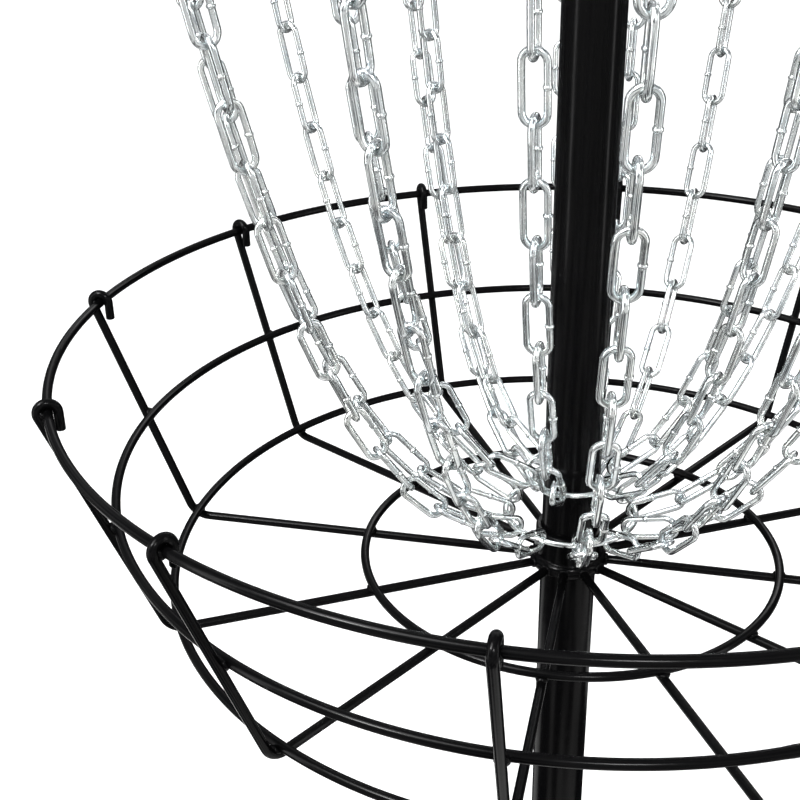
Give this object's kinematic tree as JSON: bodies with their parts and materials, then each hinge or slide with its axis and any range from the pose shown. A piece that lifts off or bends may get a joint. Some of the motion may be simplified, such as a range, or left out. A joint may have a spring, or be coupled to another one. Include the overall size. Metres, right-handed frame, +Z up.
{
  "type": "disc golf basket",
  "caption": "Free-standing disc golf basket: wire basket and hanging steel chains on a two-piece pole, with a banded chain hanger above and a round floor base.",
  "frame": {"origin": "on the ground, on the axis of the pole", "axes": "+Z up the pole; +X and +Y level, the clamp knob at 300 degrees round from +X"},
  "size_m": [0.6754, 0.6754, 1.3921],
  "materials": {
    "black_powder_coat": "satin black powder coat",
    "band_coat": "satin black powder coat on sheet steel",
    "zinc_chain": "bright zinc plate",
    "zinc_fastener": "zinc plate",
    "rubber_foot": "matt rubber",
    "black_plastic": "moulded plastic"
  },
  "bodies": {
    "base": {"base_ring": "black_powder_coat", "base_leg_1": "black_powder_coat", "base_leg_2": "black_powder_coat", "base_leg_3": "black_powder_coat", "base_socket": "black_powder_coat", "base_feet": "rubber_foot", "clamp_boss": "black_powder_coat"},
    "clamp": {"clamp_stud": "zinc_fastener", "clamp_knob": "black_plastic"},
    "pole_and_basket": {"lower_pole": "black_powder_coat", "basket_hub": "black_powder_coat", "hub_set_screws": "zinc_fastener", "rim_ring": "black_powder_coat", "middle_ring": "black_powder_coat", "floor_ring": "black_powder_coat", "inner_floor_ring": "black_powder_coat", "basket_rib_01": "black_powder_coat", "basket_rib_02": "black_powder_coat", "basket_rib_03": "black_powder_coat", "basket_rib_04": "black_powder_coat", "basket_rib_05": "black_powder_coat", "basket_rib_06": "black_powder_coat", "basket_rib_07": "black_powder_coat", "basket_rib_08": "black_powder_coat", "basket_rib_09": "black_powder_coat", "basket_rib_10": "black_powder_coat", "basket_rib_11": "black_powder_coat", "basket_rib_12": "black_powder_coat"},
    "chain_hanger": {"upper_pole": "black_powder_coat", "pole_cap": "black_plastic", "hanger_hub": "black_powder_coat", "hanger_set_screws": "zinc_fastener", "hanger_arm_1": "black_powder_coat", "hanger_arm_2": "black_powder_coat", "hanger_arm_3": "black_powder_coat", "hanger_arm_4": "black_powder_coat", "outer_hanger_ring": "black_powder_coat", "inner_hanger_ring": "black_powder_coat", "band": "band_coat", "band_nuts": "zinc_fastener", "outer_collector_ring": "zinc_chain", "inner_collector_ring": "zinc_chain"},
    "outer_chain_01": {"outer_chain_01": "zinc_chain"},
    "outer_chain_02": {"outer_chain_02": "zinc_chain"},
    "outer_chain_03": {"outer_chain_03": "zinc_chain"},
    "outer_chain_04": {"outer_chain_04": "zinc_chain"},
    "outer_chain_05": {"outer_chain_05": "zinc_chain"},
    "outer_chain_06": {"outer_chain_06": "zinc_chain"},
    "outer_chain_07": {"outer_chain_07": "zinc_chain"},
    "outer_chain_08": {"outer_chain_08": "zinc_chain"},
    "outer_chain_09": {"outer_chain_09": "zinc_chain"},
    "outer_chain_10": {"outer_chain_10": "zinc_chain"},
    "outer_chain_11": {"outer_chain_11": "zinc_chain"},
    "outer_chain_12": {"outer_chain_12": "zinc_chain"},
    "inner_chain_01": {"inner_chain_01": "zinc_chain"},
    "inner_chain_02": {"inner_chain_02": "zinc_chain"},
    "inner_chain_03": {"inner_chain_03": "zinc_chain"},
    "inner_chain_04": {"inner_chain_04": "zinc_chain"},
    "inner_chain_05": {"inner_chain_05": "zinc_chain"},
    "inner_chain_06": {"inner_chain_06": "zinc_chain"}
  },
  "joints": [
    {"name": "clamp_turn", "type": "hinge", "parent": "base", "child": "clamp", "pos_m": [0.02, -0.03464, 0.128], "axis": [0.5, -0.866, 0], "continuous": true},
    {"name": "pole_lift", "type": "slide", "parent": "base", "child": "pole_and_basket", "axis": [0, 0, 1], "range_m": [0, 0.15]},
    {"name": "upper_pole_lift", "type": "slide", "parent": "pole_and_basket", "child": "chain_hanger", "axis": [0, 0, 1], "range_m": [0, 0.105]},
    {"name": "outer_chain_01_swing", "type": "hinge", "parent": "chain_hanger", "child": "outer_chain_01", "pos_m": [0.27893, 0.0244, 1.334], "axis": [-0.3437, -0.0301, -0.9386], "range_deg": [-30, 30]},
    {"name": "outer_chain_02_swing", "type": "hinge", "parent": "chain_hanger", "child": "outer_chain_02", "pos_m": [0.22936, 0.1606, 1.334], "axis": [-0.2826, -0.1979, -0.9386], "range_deg": [-30, 30]},
    {"name": "outer_chain_03_swing", "type": "hinge", "parent": "chain_hanger", "child": "outer_chain_03", "pos_m": [0.11833, 0.25377, 1.334], "axis": [-0.1458, -0.3127, -0.9386], "range_deg": [-30, 30]},
    {"name": "outer_chain_04_swing", "type": "hinge", "parent": "chain_hanger", "child": "outer_chain_04", "pos_m": [-0.0244, 0.27893, 1.334], "axis": [0.0301, -0.3437, -0.9386], "range_deg": [-30, 30]},
    {"name": "outer_chain_05_swing", "type": "hinge", "parent": "chain_hanger", "child": "outer_chain_05", "pos_m": [-0.1606, 0.22936, 1.334], "axis": [0.1979, -0.2826, -0.9386], "range_deg": [-30, 30]},
    {"name": "outer_chain_06_swing", "type": "hinge", "parent": "chain_hanger", "child": "outer_chain_06", "pos_m": [-0.25377, 0.11833, 1.334], "axis": [0.3127, -0.1458, -0.9386], "range_deg": [-30, 30]},
    {"name": "outer_chain_07_swing", "type": "hinge", "parent": "chain_hanger", "child": "outer_chain_07", "pos_m": [-0.27893, -0.0244, 1.334], "axis": [0.3437, 0.0301, -0.9386], "range_deg": [-30, 30]},
    {"name": "outer_chain_08_swing", "type": "hinge", "parent": "chain_hanger", "child": "outer_chain_08", "pos_m": [-0.22936, -0.1606, 1.334], "axis": [0.2826, 0.1979, -0.9386], "range_deg": [-30, 30]},
    {"name": "outer_chain_09_swing", "type": "hinge", "parent": "chain_hanger", "child": "outer_chain_09", "pos_m": [-0.11833, -0.25377, 1.334], "axis": [0.1458, 0.3127, -0.9386], "range_deg": [-30, 30]},
    {"name": "outer_chain_10_swing", "type": "hinge", "parent": "chain_hanger", "child": "outer_chain_10", "pos_m": [0.0244, -0.27893, 1.334], "axis": [-0.0301, 0.3437, -0.9386], "range_deg": [-30, 30]},
    {"name": "outer_chain_11_swing", "type": "hinge", "parent": "chain_hanger", "child": "outer_chain_11", "pos_m": [0.1606, -0.22936, 1.334], "axis": [-0.1979, 0.2826, -0.9386], "range_deg": [-30, 30]},
    {"name": "outer_chain_12_swing", "type": "hinge", "parent": "chain_hanger", "child": "outer_chain_12", "pos_m": [0.25377, -0.11833, 1.334], "axis": [-0.3127, 0.1458, -0.9386], "range_deg": [-30, 30]},
    {"name": "inner_chain_01_swing", "type": "hinge", "parent": "chain_hanger", "child": "inner_chain_01", "pos_m": [0.15975, 0.05814, 1.334], "axis": [-0.2081, -0.0758, -0.9752], "range_deg": [-30, 30]},
    {"name": "inner_chain_02_swing", "type": "hinge", "parent": "chain_hanger", "child": "inner_chain_02", "pos_m": [0.02952, 0.16742, 1.334], "axis": [-0.0385, -0.2181, -0.9752], "range_deg": [-30, 30]},
    {"name": "inner_chain_03_swing", "type": "hinge", "parent": "chain_hanger", "child": "inner_chain_03", "pos_m": [-0.13023, 0.10927, 1.334], "axis": [0.1697, -0.1424, -0.9752], "range_deg": [-30, 30]},
    {"name": "inner_chain_04_swing", "type": "hinge", "parent": "chain_hanger", "child": "inner_chain_04", "pos_m": [-0.15975, -0.05814, 1.334], "axis": [0.2081, 0.0758, -0.9752], "range_deg": [-30, 30]},
    {"name": "inner_chain_05_swing", "type": "hinge", "parent": "chain_hanger", "child": "inner_chain_05", "pos_m": [-0.02952, -0.16742, 1.334], "axis": [0.0385, 0.2181, -0.9752], "range_deg": [-30, 30]},
    {"name": "inner_chain_06_swing", "type": "hinge", "parent": "chain_hanger", "child": "inner_chain_06", "pos_m": [0.13023, -0.10927, 1.334], "axis": [-0.1697, 0.1424, -0.9752], "range_deg": [-30, 30]}
  ]
}
